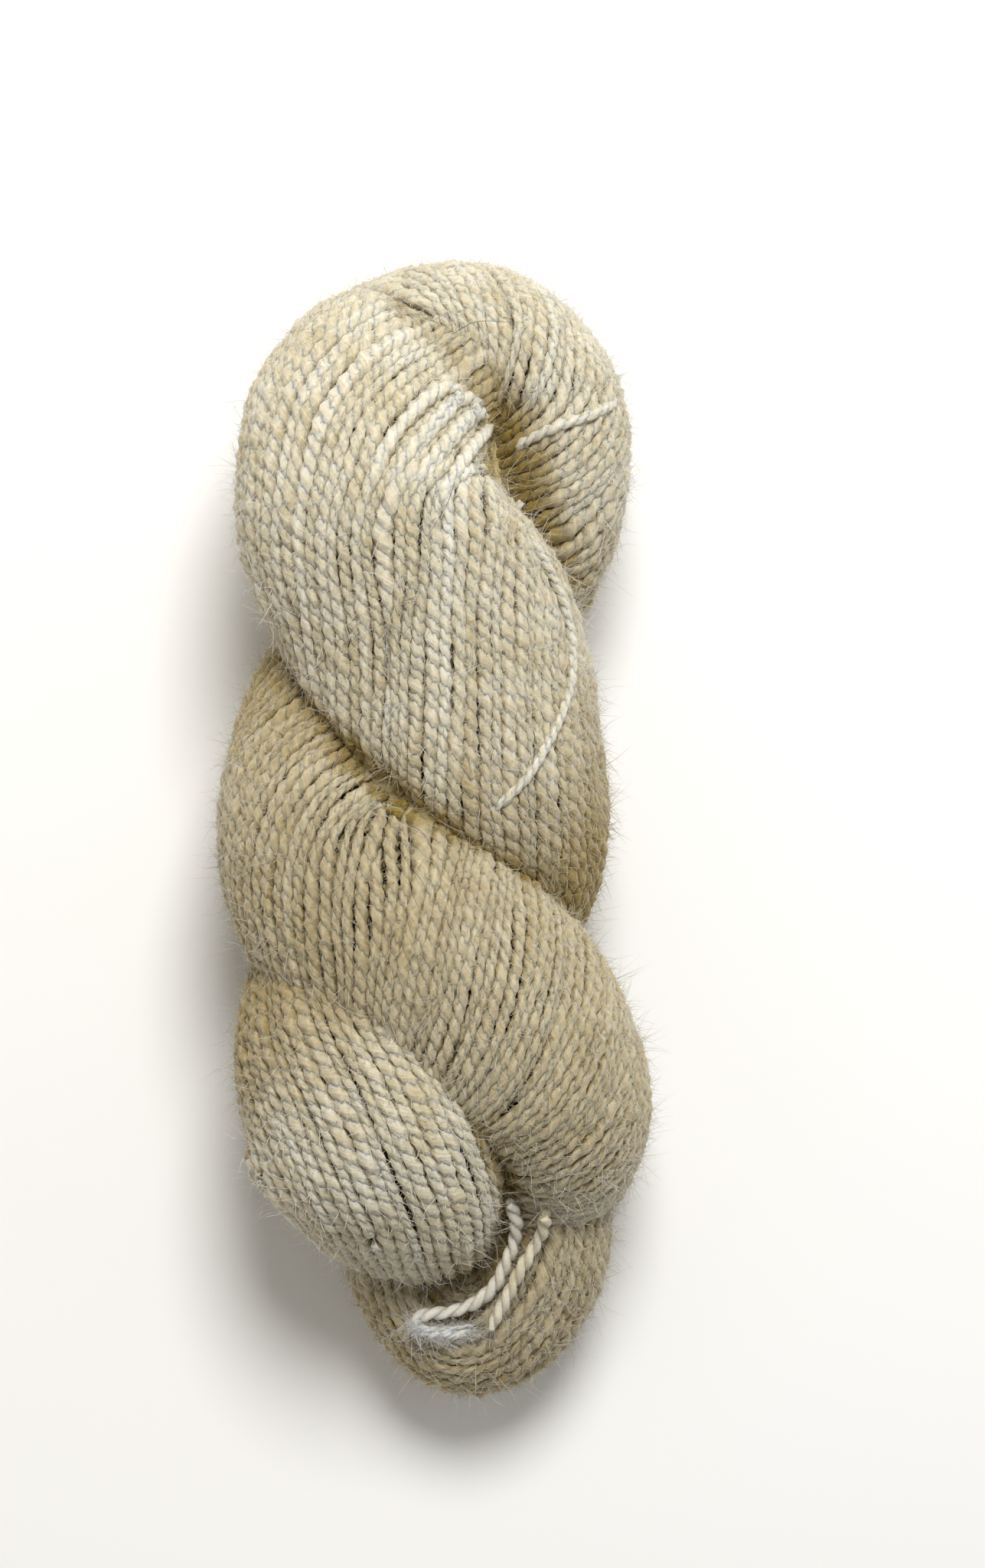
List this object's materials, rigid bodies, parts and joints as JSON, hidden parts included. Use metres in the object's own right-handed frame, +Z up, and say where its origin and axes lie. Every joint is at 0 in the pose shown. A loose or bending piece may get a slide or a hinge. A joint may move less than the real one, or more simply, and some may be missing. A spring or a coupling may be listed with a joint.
{
  "type": "skein of yarn",
  "caption": "Hank of cream handspun wool yarn, twisted and folded back on itself into a rope-like bundle, lying on its side with the two loose ends of its tie.",
  "frame": {"origin": "on the surface that the hank lies on, under the middle of its outline", "axes": "+Y along the hank from its end loop to its fold, +Z up from the surface, +X to the right seen from above"},
  "size_m": [0.0943, 0.2493, 0.0802],
  "materials": {
    "wool": "matt cream two-ply handspun wool with a soft halo of fibres",
    "tie_yarn": "matt whiter wool yarn, frayed at its end"
  },
  "bodies": {
    "root": {"hank": "wool", "tie_long": "tie_yarn", "tie_short": "tie_yarn"}
  },
  "joints": []
}
